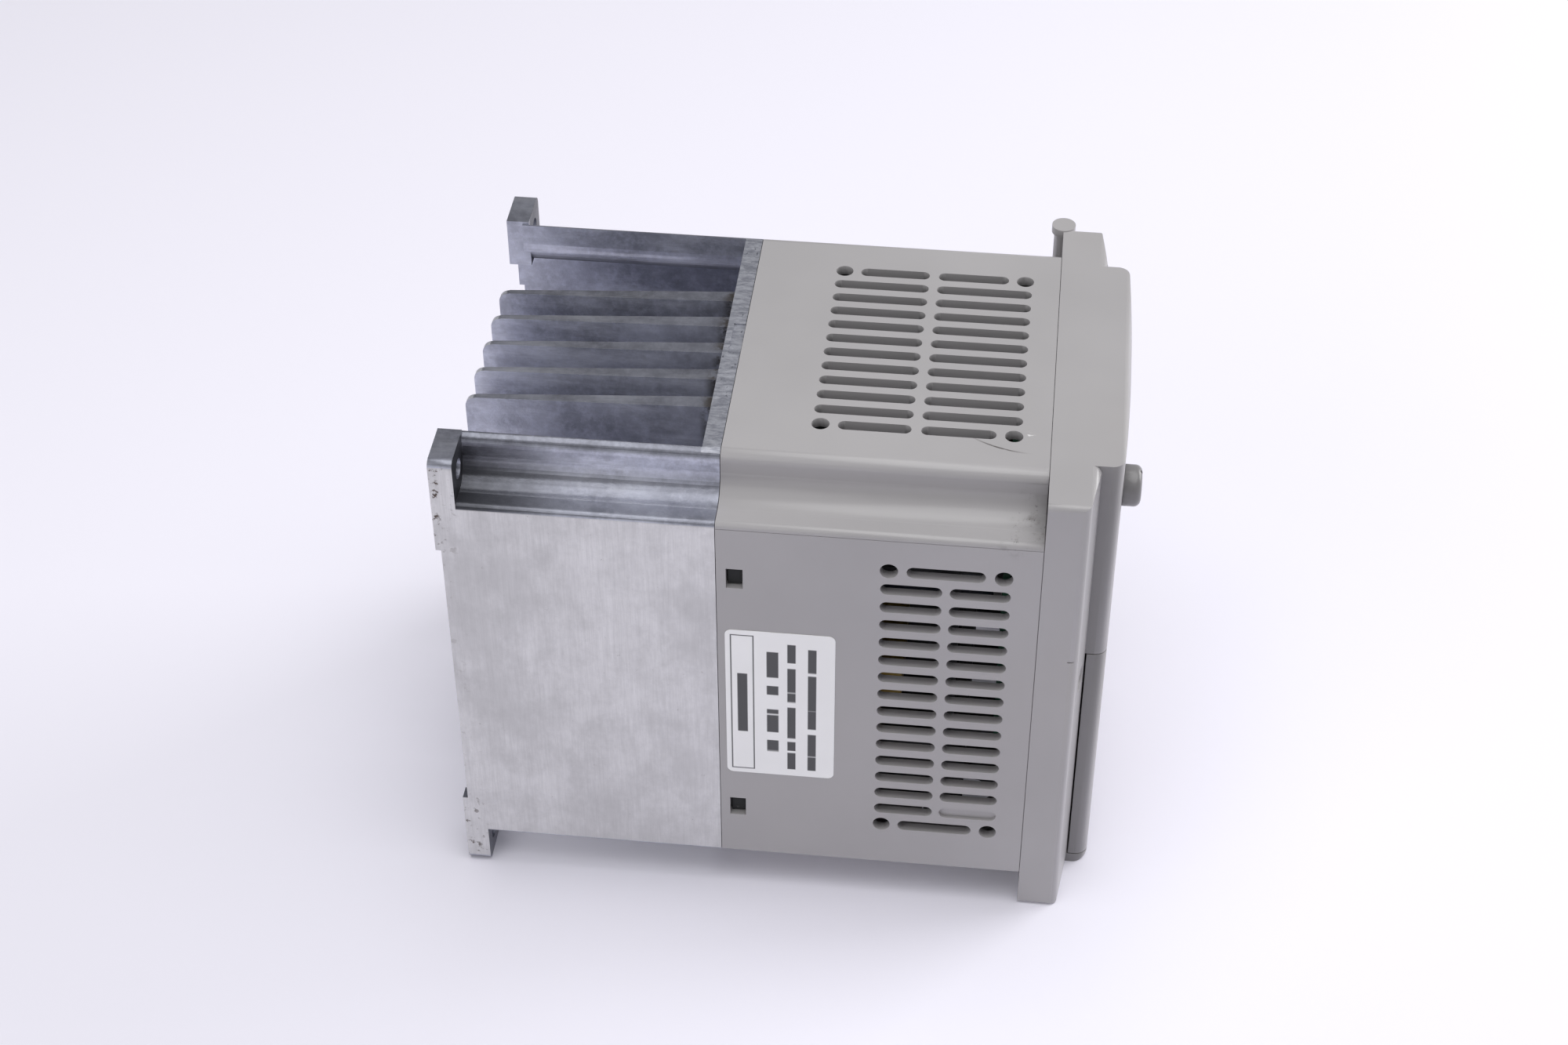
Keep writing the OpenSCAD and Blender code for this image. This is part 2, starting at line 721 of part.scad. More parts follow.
// One key opening through the skin
module key_hole(p, size) {
    block([p.x - size.x / 2 - key_gap, front(25), p.y - size.y / 2 - key_gap],
        [p.x + size.x / 2 + key_gap, front(8), p.y + size.y / 2 + key_gap]);
}

module front_cover() color([0.73, 0.72, 0.7]) {
    difference() {
        union() {
            intersection() {
                plan(cover_bottom, case_top) strip_plan();
                profile(-half_w, half_w)
                    rounded_profile(strip_depth, cover_bottom, case_top, 4, strip_edge_r);
                along_y(front(strip_depth + 1), seam_y)
                    soft_rect([-half_w, cover_bottom], [half_w, case_top], cover_corner_r);
            }
            intersection() {
                union() {
                    plan(split_z, case_top) panel_plan(0);
                    plan(cover_bottom, lip_top) panel_plan(0);
                }
                profile(-half_w, half_w) rounded_profile(panel_depth, cover_bottom, case_top, 5, 1.6);
            }
        }
        // hollow behind the strips and behind the raised panel
        block([-half_w + wall, front(8.6), cover_bottom + wall],
            [half_w - wall, front(-1), case_top - wall]);
        intersection() {
            plan(split_z + wall, case_top - wall) panel_plan(skin_t);
            profile(-half_w, half_w) rect([0, split_z], [panel_depth, case_top]);
        }
        // trough for the barrel of the keypad door and its two pivots
        translate([barrel_x, front(barrel_d), lip_top])
            cylinder(r = barrel_r + trough_gap, h = split_z - lip_top);
        translate([barrel_x, front(barrel_d), lip_top - pivot_l])
            cylinder(r = pivot_r + 0.05, h = split_z - lip_top + 2 * pivot_l);
        // openings for display, lamps, keys and knob
        block([window_x[0], front(25), window_z[0]], [window_x[1], front(8), window_z[1]]);
        for (z = lamp_z) bar_y(1.3, lamp_x, z, front(25), front(8));
        for (p = upper_keys) key_hole(p, upper_key_size);
        for (p = lower_keys) key_hole(p, lower_key_size);
        bar_y(3.3, knob_x, knob_z, front(25), front(8));
        bar_y(knob_r + 0.25, knob_x, knob_z, front(25), front(knob_seat_d));
        // shallow bed of the operator bezel
        block([bezel_x[0] - 0.1, front(25), bezel_z[0] - 0.1],
            [bezel_x[1] + 0.1, front(bezel_floor_d), bezel_z[1] + 0.1]);
        // thumb dimple in the left strip and the mark beside it
        bar_y(3.3, dimple_at.x, dimple_at.y, front(13), front(9.7));
        block([-half_w - 1, front(9.3), mark_z - 0.15], [-half_w + 0.35, front(7.2), mark_z + 0.15]);
        // room for the housing's hinge ears
        for (z = ear_z)
            block([post_x - ear_r - 0.7, front(5.3), z - ear_gap],
                [half_w + 5, front(-1), z + ear_h + ear_gap]);
    }
    // posts for the operator board
    for (p = operator_screw_at) difference() {
        bar_y(2.6, p.x, p.y, front(p.y > split_z ? panel_depth - 2.4 : 9.5), front(board_face_d));
        bar_y(1.1, p.x, p.y, front(8), front(operator_board_d));
    }
    // tongues that guide the free side into the housing
    for (z = [[24, 36], [-32, -20]])
        block([-half_w + wall + 0.35, front(8.7), z[0]], [-half_w + wall + 2.15, front(-4), z[1]]);
    hinge_post();
}

// Round post moulded along the cover's right rear edge, with a head at each end
module hinge_post() {
    translate([post_x, seam_y, cover_bottom]) cylinder(r = post_r, h = foot_top - cover_bottom - 0.3);
    translate([post_x, seam_y, foot_top - 0.3 - post_head_h]) cylinder(r = post_head_r, h = post_head_h);
    translate([post_x, seam_y, cover_bottom]) cylinder(r = post_head_r, h = post_head_h);
    // webs that tie the post to the cover above, between and below the ears
    for (z = [[cover_bottom, ear_z[1] - ear_gap], [ear_z[1] + ear_h + ear_gap, ear_z[0] - ear_gap],
        [ear_z[0] + ear_h + ear_gap, foot_top - 0.3 - post_head_h]])
        block([half_w - 2.4, front(3.2), z[0]], [post_x, front(0.4), z[1]]);
}

bezel_x = [-22.5, 36];
bezel_z = [11, 60.5];
bezel_floor_d = panel_depth - 1.8;
bezel_arc_inset = 0.25;

// Dark overlay set into the panel round the display, the lamps and the two main keys
module operator_bezel() color([0.2, 0.22, 0.25]) difference() {
    intersection() {
        block([bezel_x[0], front(25), bezel_z[0]], [bezel_x[1], front(bezel_floor_d), bezel_z[1]]);
        plan(split_z, case_top) panel_plan(bezel_arc_inset);
    }
    block([window_x[0], front(25), window_z[0]], [window_x[1], front(8), window_z[1]]);
    for (z = lamp_z) bar_y(1.3, lamp_x, z, front(25), front(8));
    for (p = upper_keys) key_hole(p, upper_key_size);
}

glass_rear_d = panel_depth - 2.6;

module display_window() color([0.45, 0.05, 0.06])
    block([window_x[0] + 0.05, front(glass_rear_d + 1.5), window_z[0] + 0.05],
        [window_x[1] - 0.05, front(glass_rear_d), window_z[1] - 0.05]);

board_face_d = operator_board_d + board_t;
segment_d = glass_rear_d - 0.3;

// Four-digit seven-segment display
module display_module() color([0.13, 0.13, 0.14]) difference() {
    block([window_x[0] + 1, front(glass_rear_d), window_z[0] + 1],
        [window_x[1] - 1, front(board_face_d), window_z[1] - 1]);
    for (i = [0 : 3], s = [-1, 0, 1]) {
        x = window_x[0] + 5.2 + i * 10.2;
        z = (window_z[0] + window_z[1]) / 2 + s * 5.2;
        block([x, front(glass_rear_d + 1), z - 0.5], [x + 4.4, front(segment_d), z + 0.5]);
    }
    for (i = [0 : 3], s = [-1, 1], u = [0, 1]) {
        x = window_x[0] + 4.3 + i * 10.2 + u * 5.2;
        z = (window_z[0] + window_z[1]) / 2 + s * 2.6;
        block([x, front(glass_rear_d + 1), z - 1.8], [x + 1, front(segment_d), z + 1.8]);
    }
}

module status_lamps() color([0.8, 0.2, 0.15])
    for (z = lamp_z) bar_y(1.2, lamp_x, z, front(panel_depth - 0.6), front(board_face_d));

operator_screw_at = [[-33, 38], [33, 31], [-33, -16], [33, -16]];

module operator_board() color([0.1, 0.36, 0.2]) difference() {
    block([-36, front(board_face_d), -19.5], [36, front(operator_board_d), 59.5]);
    for (p = operator_screw_at) bar_y(1.1, p.x, p.y, front(7), front(3));
}

// Screws driven from the rear into the cover's posts
module operator_board_screws() color("silver")
    for (p = operator_screw_at) mirror([0, 1, 0])
        screw_y(p.x, p.y, -front(operator_board_d), 1.1, 3.6, 2.3, 1.5);

key_flange_t = 1;
upper_inner_d = panel_depth - 3.7;
lower_inner_d = 8.6;
upper_top_d = panel_depth;
lower_top_d = 13;

// Height of a switch top, so that a key has room to travel
upper_switch_d = 9.6;
lower_switch_d = 6.6;

module key_switches() color([0.15, 0.15, 0.16]) {
    for (p = upper_keys) {
        block([p.x - 3, front(8.4), p.y - 3], [p.x + 3, front(board_face_d), p.y + 3]);
        bar_y(1.6, p.x, p.y, front(upper_switch_d), front(8.4));
    }
    for (p = lower_keys) {
        block([p.x - 3, front(6.1), p.y - 3], [p.x + 3, front(board_face_d), p.y + 3]);
        bar_y(1.6, p.x, p.y, front(lower_switch_d), front(6.1));
    }
}

// Key cap with a flange behind the skin and a stem towards its switch
module key(p, size, top_d, inner_d, stem_d) {
    along_y(front(top_d), front(inner_d - 0.1))
        soft_rect([p.x - size.x / 2, p.y - size.y / 2], [p.x + size.x / 2, p.y + size.y / 2], 1);
    block([p.x - size.x / 2 - 0.9, front(inner_d - 0.05), p.y - size.y / 2 - 0.9],
        [p.x + size.x / 2 + 0.9, front(inner_d - 0.05 - key_flange_t), p.y + size.y / 2 + 0.9]);
    bar_y(1.5, p.x, p.y, front(inner_d - key_flange_t), front(stem_d + key_travel_room));
}

module upper_key(p) key(p, upper_key_size, upper_top_d, upper_inner_d, upper_switch_d);
module lower_key(p) key(p, lower_key_size, lower_top_d, lower_inner_d, lower_switch_d);

module run_key() color([0.2, 0.5, 0.3]) upper_key(upper_keys[0]);
module stop_key() color([0.7, 0.15, 0.12]) upper_key(upper_keys[1]);
module function_key() color([0.35, 0.36, 0.4]) lower_key(lower_keys[0]);
module up_key() color([0.35, 0.36, 0.4]) lower_key(lower_keys[1]);
module down_key() color([0.35, 0.36, 0.4]) lower_key(lower_keys[2]);
module store_key() color([0.35, 0.36, 0.4]) lower_key(lower_keys[3]);

// Plug behind the operator board; it enters the socket on the control board
module operator_plug() color([0.12, 0.12, 0.13])
    block([socket_x[0] + 1.8, front(operator_board_d), socket_z[0] + 1.8],
        [socket_x[1] - 1.8, control_board_front - 4, socket_z[1] - 1.8]);

module potentiometer_body() color([0.2, 0.3, 0.5]) difference() {
    union() {
        block([knob_x - 4.5, front(11.5), knob_z - 5], [knob_x + 4.5, front(board_face_d), knob_z + 5]);
        bar_y(3, knob_x, knob_z, front(15.5), front(11.5));
    }
    bar_y(1.55, knob_x, knob_z, front(16), front(7.5));
}

shaft_front_d = 19.5;

module potentiometer_shaft() color("silver")
    bar_y(1.5, knob_x, knob_z, front(shaft_front_d), front(7.6));

knob_seat_d = panel_depth - 1;
knob_rear_d = knob_seat_d + 0.15;
knob_front_d = knob_rear_d + knob_out;
knob_edge_r = 1.6;

// Knob with a rounded outer edge and a pointer groove
module speed_knob() color([0.42, 0.42, 0.44]) difference() {
    translate([knob_x, front(knob_rear_d), knob_z]) rotate([90, 0, 0]) rotate_extrude() {
        square([knob_r, knob_out - knob_edge_r]);
        square([knob_r - knob_edge_r, knob_out]);
        translate([knob_r - knob_edge_r, knob_out - knob_edge_r]) circle(r = knob_edge_r);
    }
    bar_y(1.5, knob_x, knob_z, front(shaft_front_d), front(10));
    block([knob_x - 0.4, front(knob_front_d + 1), knob_z + 1],
        [knob_x + 0.4, front(knob_front_d - 0.5), knob_z + knob_r + 1]);
}

door_floor_d = 12.05;
door_top = split_z - door_gap;
door_low = lip_top + door_gap;
door_skin = 1.7;

// Half-size door over the set-up keys; its barrel turns in the cover's trough
module keypad_door() color([0.73, 0.72, 0.7]) {
    intersection() {
        difference() {
            plan(door_low, door_top) panel_plan(0);
            plan(door_low - 1, door_top + 1) rect([-panel_half - 1, 0], [panel_half + 1, door_floor_d]);
            plan(door_low + 1.6, door_top - 1.6) difference() {
                panel_plan(door_skin);
                rect([barrel_x - barrel_r - 0.5, 0], [panel_half + 1, panel_depth + 1]);
            }
            plan(door_low - 1, door_top + 1) rect([barrel_x, 0], [panel_half + 1, barrel_d]);
            plan(door_low - 1, door_top + 1)
                rect([barrel_x - barrel_r - 0.6, 0], [barrel_x + 0.1, barrel_d + 1.2]);
        }
        profile(-half_w, half_w) rounded_profile(panel_depth, cover_bottom, case_top, 5, 1.6);
    }
    intersection() {
        translate([barrel_x, front(barrel_d), door_low]) cylinder(r = barrel_r, h = door_top - door_low);
        profile(-half_w, half_w) rounded_profile(panel_depth, cover_bottom, case_top, 5, 1.6);
    }
    for (z = [[door_low - pivot_l, door_low + 1], [door_top - 1, door_top + pivot_l]])
        translate([barrel_x, front(barrel_d), z[0]]) cylinder(r = pivot_r, h = z[1] - z[0]);
}

heat_sink();
base_frame();
base_frame_screws();
thermal_pad();
power_module();
module_screws();
module_pins();
power_board();
board_standoffs();
board_screws();
bus_capacitor_left();
bus_capacitor_right();
film_capacitor();
choke_core();
choke_winding();
transformer_core();
transformer_bobbin();
inrush_relay();
power_terminal_block();
terminal_clamps();
power_terminal_screws();
charge_lamp();
board_carrier();
control_board();
control_board_screws();
microcontroller();
control_terminal_block();
control_terminal_screws();
board_link_header();
operator_socket();
body_housing();
cable_entry_plate();
side_label();
front_cover();
operator_bezel();
display_window();
display_module();
status_lamps();
operator_board();
operator_board_screws();
key_switches();
operator_plug();
potentiometer_body();
speed_knob();
potentiometer_shaft();
run_key();
stop_key();
function_key();
up_key();
down_key();
store_key();
keypad_door();
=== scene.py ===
"""Looks of a compact motor drive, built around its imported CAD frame. Metres, in the frame's own axes."""
import json
import math
import bmesh
import bpy
from mathutils import Matrix, Vector


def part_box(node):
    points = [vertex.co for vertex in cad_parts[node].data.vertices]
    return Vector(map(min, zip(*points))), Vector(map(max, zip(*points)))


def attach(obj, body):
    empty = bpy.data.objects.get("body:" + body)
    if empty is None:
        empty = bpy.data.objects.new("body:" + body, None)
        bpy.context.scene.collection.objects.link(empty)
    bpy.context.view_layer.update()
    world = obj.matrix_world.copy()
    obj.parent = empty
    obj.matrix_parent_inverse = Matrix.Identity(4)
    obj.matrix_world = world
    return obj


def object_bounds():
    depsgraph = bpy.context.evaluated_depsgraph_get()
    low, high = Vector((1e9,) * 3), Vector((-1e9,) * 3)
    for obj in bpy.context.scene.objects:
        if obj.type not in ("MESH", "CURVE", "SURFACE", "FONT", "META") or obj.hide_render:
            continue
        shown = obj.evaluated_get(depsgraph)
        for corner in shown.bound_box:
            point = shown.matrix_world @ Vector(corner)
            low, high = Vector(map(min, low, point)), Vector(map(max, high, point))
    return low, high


MM = 0.001

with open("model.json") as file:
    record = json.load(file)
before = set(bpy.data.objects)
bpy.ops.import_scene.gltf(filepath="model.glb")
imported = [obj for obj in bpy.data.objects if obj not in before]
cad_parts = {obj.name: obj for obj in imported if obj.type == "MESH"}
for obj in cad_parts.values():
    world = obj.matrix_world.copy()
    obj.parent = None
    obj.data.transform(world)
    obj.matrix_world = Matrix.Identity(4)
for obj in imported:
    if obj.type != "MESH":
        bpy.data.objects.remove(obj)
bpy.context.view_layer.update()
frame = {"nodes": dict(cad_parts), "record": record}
nodes = frame["nodes"]

# ---------- camera and light ----------

CAMERA_PLACE = Vector((-0.5227, -0.1326, 0.4519))
CAMERA_TARGET = Vector((0.0090, -0.0738, 0.0004))
CAMERA_ROLL = math.radians(-0.1)
LENS_MM = 62.955
SENSOR_MM = 36
# name, place, target, width and height in metres, power in watts
LIGHTS = (
    ("top_light", (-0.10, -0.20, 1.40), (0, -0.07, 0), 1.4, 1.4, 17.0),
    ("front_light", (0.60, -1.15, 0.40), (0, -0.10, 0), 0.8, 0.6, 8.5),
    ("side_light", (-1.00, 0.75, 0.60), (0, -0.07, 0), 1.0, 1.0, 3.4),
)
WORLD_COLOUR = (1.0, 0.99, 1.0)
WORLD_STRENGTH = 0.21
FLOOR_REACH = 4.0


def look_at(place, target, roll=0.0):
    """Matrix of something that stands at place and looks at target."""
    turn = (target - place).to_track_quat("-Z", "Y").to_matrix().to_4x4()
    return Matrix.Translation(place) @ turn @ Matrix.Rotation(roll, 4, "Z")


def add_camera():
    data = bpy.data.cameras.new("camera")
    data.lens = LENS_MM
    data.sensor_width = SENSOR_MM
    camera = bpy.data.objects.new("camera", data)
    bpy.context.scene.collection.objects.link(camera)
    camera.matrix_world = look_at(CAMERA_PLACE, CAMERA_TARGET, CAMERA_ROLL)
    bpy.context.scene.camera = camera


def add_area_light(name, place, target, width, height, watts):
    data = bpy.data.lights.new(name, "AREA")
    data.shape = "RECTANGLE"
    data.size = width
    data.size_y = height
    data.energy = watts
    light = bpy.data.objects.new(name, data)
    bpy.context.scene.collection.objects.link(light)
    light.matrix_world = look_at(Vector(place), Vector(target))


def add_world(colour, strength):
    world = bpy.data.worlds.new("studio")
    bpy.context.scene.world = world
    world.use_nodes = True
    background = world.node_tree.nodes["Background"]
    background.inputs["Color"].default_value = (*colour, 1)
    background.inputs["Strength"].default_value = strength


# ---------- shader helpers ----------

class Shader:
    """Small builder for one node material; coordinates are the frame's own, in metres."""

    def __init__(self, name):
        self.material = bpy.data.materials.new(name)
        self.material.use_nodes = True
        self.tree = self.material.node_tree
        self.bsdf = self.tree.nodes["Principled BSDF"]
        self.place = self.node("ShaderNodeTexCoord").outputs["Object"]

    def node(self, kind, **settings):
        made = self.tree.nodes.new(kind)
        for key, value in settings.items():
            setattr(made, key, value)
        return made

    def link(self, source, socket):
        if isinstance(source, bpy.types.NodeSocket):
            self.tree.links.new(source, socket)
        else:
            socket.default_value = source

    def math(self, operation, a, b=0.0, clamp=False):
        made = self.node("ShaderNodeMath", operation=operation, use_clamp=clamp)
        self.link(a, made.inputs[0])
        self.link(b, made.inputs[1])
        return made.outputs[0]

    def scaled(self, factors):
        made = self.node("ShaderNodeVectorMath", operation="MULTIPLY")
        self.link(self.place, made.inputs[0])
        made.inputs[1].default_value = factors
        return made.outputs[0]

    def noise(self, scale, detail=4.0, roughness=0.55, stretch=(1, 1, 1), shift=0.0):
        made = self.node("ShaderNodeTexNoise", noise_dimensions="4D")
        self.link(self.scaled(stretch), made.inputs["Vector"])
        made.inputs["Scale"].default_value = scale
        made.inputs["Detail"].default_value = detail
        made.inputs["Roughness"].default_value = roughness
        made.inputs["W"].default_value = shift
        return made.outputs["Fac"]

    def cells(self, scale, stretch=(1, 1, 1)):
        made = self.node("ShaderNodeTexVoronoi")
        self.link(self.scaled(stretch), made.inputs["Vector"])
        made.inputs["Scale"].default_value = scale
        return made.outputs["Distance"]

    def spread(self, value, low, high, to_low=0.0, to_high=1.0):
        """Value between low and high, mapped smoothly to the new range."""
        made = self.node("ShaderNodeMapRange", interpolation_type="SMOOTHSTEP")
        self.link(value, made.inputs["Value"])
        for key, number in (("From Min", low), ("From Max", high), ("To Min", to_low), ("To Max", to_high)):
            made.inputs[key].default_value = number
        return made.outputs["Result"]

    def mix(self, factor, a, b, blend="MIX"):
        made = self.node("ShaderNodeMix", data_type="RGBA", blend_type=blend)
        self.link(factor, made.inputs["Factor"])
        for index, value in ((6, a), (7, b)):
            self.link(value if isinstance(value, bpy.types.NodeSocket) else (*value, 1), made.inputs[index])
        return made.outputs[2]

    def axis(self, vector, letter):
        made = self.node("ShaderNodeSeparateXYZ")
        self.link(vector, made.inputs[0])
        return made.outputs[letter]

    def normal(self):
        return self.node("ShaderNodeNewGeometry").outputs["True Normal"]

    def near(self, centre, radius):
        """1 at a point of the frame, falling to 0 at the radius."""
        away = self.node("ShaderNodeVectorMath", operation="DISTANCE")
        self.link(self.place, away.inputs[0])
        away.inputs[1].default_value = centre
        return self.spread(away.outputs["Value"], 0.0, radius, 1.0, 0.0)

    def all_of(self, *factors):
        made = factors[0]
        for factor in factors[1:]:
            made = self.math("MULTIPLY", made, factor)
        return made

    def none_of(self, factor):
        return self.math("SUBTRACT", 1.0, factor)

    def size_of(self, value, low, high):
        """1 where the value's size is over high, 0 where it is under low."""
        return self.spread(self.math("ABSOLUTE", value), low, high)

    def ring(self, centre, radius, half_line, along="XY"):
        """Thin line on a cylinder around centre whose axis is the letter missing in along."""
        gaps = [self.math("SUBTRACT", self.axis(self.place, letter), middle)
                for letter, middle in zip(along, centre)]
        squares = [self.math("POWER", gap, 2) for gap in gaps]
        away = self.math("SQRT", self.math("ADD", *squares))
        off = self.math("ABSOLUTE", self.math("SUBTRACT", away, radius))
        return self.spread(off, half_line * 0.4, half_line, 1.0, 0.0)

    def bump(self, height, distance, strength=1.0, under=None):
        made = self.node("ShaderNodeBump")
        self.link(height, made.inputs["Height"])
        made.inputs["Distance"].default_value = distance
        made.inputs["Strength"].default_value = strength
        if under is not None:
            self.link(under, made.inputs["Normal"])
        return made.outputs["Normal"]

    def finish(self, colour, roughness, normal=None, metallic=0.0):
        self.link(colour, self.bsdf.inputs["Base Color"])
        self.link(roughness, self.bsdf.inputs["Roughness"])
        self.link(metallic, self.bsdf.inputs["Metallic"])
        if normal is not None:
            self.link(normal, self.bsdf.inputs["Normal"])
        return self.material


def shade(colour, factor):
    return tuple(min(1.0, c * factor) for c in colour)


# ---------- materials ----------

CASE_GREY = (0.405, 0.394, 0.403)
SCRATCH_ARC = ((-0.0100, -0.1365), 0.02655)
SCRATCH_MIDDLE = (-0.0350, -0.1275, 0.0644)
SCUFF_SPOT = (-0.0302, -0.1342, 0.0644)
DIRT_SPOTS = (((-0.0470, -0.1345, 0.0575), 0.0065), ((-0.0500, -0.1370, 0.0540), 0.0075),
              ((-0.0535, -0.1330, 0.0530), 0.0060))
CASE_YELLOWED = (0.398, 0.379, 0.375)
SMEAR_GREY = (0.155, 0.140, 0.135)
GRAIN_DARK = (0.09, 0.08, 0.078)
SCRATCH_DARK = (0.10, 0.09, 0.088)
SCUFF_WHITE = (0.75, 0.74, 0.75)
PRINT_DARK = (0.03, 0.03, 0.035)
DIAL_CENTRE = (-0.031, 0.0528)
DIAL_RADIUS = 0.0063
DIAL_REAR_Y = -0.1545
DIAL_TURN = math.radians(140)
PANEL_FLANK_X = 0.0393
FLANK_SHADE_Y = -0.1500


def case_plastic():
    """Moulded light grey plastic: fine spark texture, faint clouds, a few specks, scuffs and a scratch."""
    s = Shader("case_plastic")
    clouds = s.noise(22, 3)
    base = s.mix(s.spread(clouds, 0.3, 0.7), shade(CASE_GREY, 0.955), shade(CASE_GREY, 1.03))
    yellowed = s.spread(s.noise(9, 2, shift=14.0), 0.45, 0.75, 0.0, 0.5)
    base = s.mix(yellowed, base, CASE_YELLOWED)
    specks = s.spread(s.cells(330), 0.0, 0.045, 1.0, 0.0)
    sparse = s.spread(s.noise(60, 2, shift=3.0), 0.62, 0.68)
    base = s.mix(s.all_of(specks, sparse), base, shade(CASE_GREY, 0.35))
    # dirt in the corner channel beside the cover
    smears = s.spread(s.noise(260, 6, 0.75, shift=7.0), 0.50, 0.66)
    spots = 0.0
    for centre, radius in DIRT_SPOTS:
        spots = s.math("ADD", spots, s.near(centre, radius), clamp=True)
    base = s.mix(s.all_of(smears, spots, 0.6), base, SMEAR_GREY)
    grains = s.spread(s.noise(1100, 4, 0.6, shift=37.0), 0.62, 0.66)
    base = s.mix(s.all_of(grains, spots, 0.8), base, GRAIN_DARK)
    # painted shade in the inner corner of the flank between the side strip and the raised panel
    x, y, z = (s.axis(s.place, letter) for letter in "XYZ")
    sideways = s.size_of(s.axis(s.normal(), "X"), 0.55, 0.95)
    flank_painted_shade = s.all_of(s.size_of(x, PANEL_FLANK_X - 0.0030, PANEL_FLANK_X - 0.0020), sideways,
                            s.none_of(s.size_of(x, PANEL_FLANK_X + 0.0002, PANEL_FLANK_X + 0.0004)),
                            s.spread(y, FLANK_SHADE_Y, FLANK_SHADE_Y - 0.0005))
    base = s.mix(s.all_of(flank_painted_shade, s.spread(clouds, 0.2, 0.6, 0.85, 1.0)), base, shade(CASE_GREY, 0.60))
    # curved scratch and a small scuff in front of the top grille
    scratch = s.all_of(s.ring(*SCRATCH_ARC, 0.00028), s.near(SCRATCH_MIDDLE, 0.0085),
                       s.spread(s.noise(500, 3, shift=11.0), 0.3, 0.5, 0.5, 1.0))
    base = s.mix(scratch, base, SCRATCH_DARK)
    crazed = s.spread(s.noise(900, 5, 0.7, stretch=(1, 0.4, 1), shift=5.0), 0.55, 0.62)
    base = s.mix(s.all_of(crazed, s.near(SCUFF_SPOT, 0.0022)), base, SCUFF_WHITE)
    # printed scale round the knob, on the front face only
    forward = s.size_of(s.axis(s.normal(), "Y"), 0.985, 0.995)
    ahead = s.spread(y, DIAL_REAR_Y, DIAL_REAR_Y - 0.0005)
    angle = s.math("ARCTAN2", s.math("SUBTRACT", x, DIAL_CENTRE[0]),
                   s.math("SUBTRACT", z, DIAL_CENTRE[1]))
    sweep = s.size_of(angle, DIAL_TURN, DIAL_TURN + math.radians(2))
    print_mask = s.all_of(s.ring(DIAL_CENTRE, DIAL_RADIUS, 0.00022, along="XZ"), forward, ahead,
                          s.none_of(sweep))
    base = s.mix(print_mask, base, PRINT_DARK)
    fine = s.noise(2600, 2)
    dents = s.noise(260, 3, shift=1.0)
    normal = s.bump(dents, 0.00005, 0.3, s.bump(fine, 0.00002, 0.5))
    rough = s.math("ADD", s.spread(clouds, 0.2, 0.8, 0.28, 0.34), s.all_of(smears, spots, 0.2))
    return s.finish(base, rough, normal)


CAST_GREY = (0.235, 0.243, 0.288)
CAST_LIGHT = (0.42, 0.43, 0.48)
CAST_DARK = (0.120, 0.124, 0.150)
MACHINED_GREY = (0.685, 0.68, 0.69)
# painted light: gains for lighter copies of the cast colour on sideways faces and in the coves
UPRIGHT_PAINTED_LIGHT_GAIN = 2.3
COVE_PAINTED_LIGHT_GAIN = 1.15
COVE_X = 0.0437
FOOT_FRONT_Y = -0.00555
DIRT_BROWN = (0.060, 0.048, 0.036)
FLANK_X = 0.0547
PLATE_REAR_Y = -0.0608
PLATE_TOP_Z = 0.0636
FIN_REGION_X = 0.0400
COVE_FOOT_Z = 0.0500
SOOT_AND_SHADE_START_Y = -0.0380
REAR_WEAR_Y = (-0.0075, -0.0005)
END_WEAR_Z = (0.030, 0.052)
WORN_EDGE_AND_HIGHLIGHT = (0.62, 0.63, 0.68)
PIT_BROWN = (0.085, 0.062, 0.050)


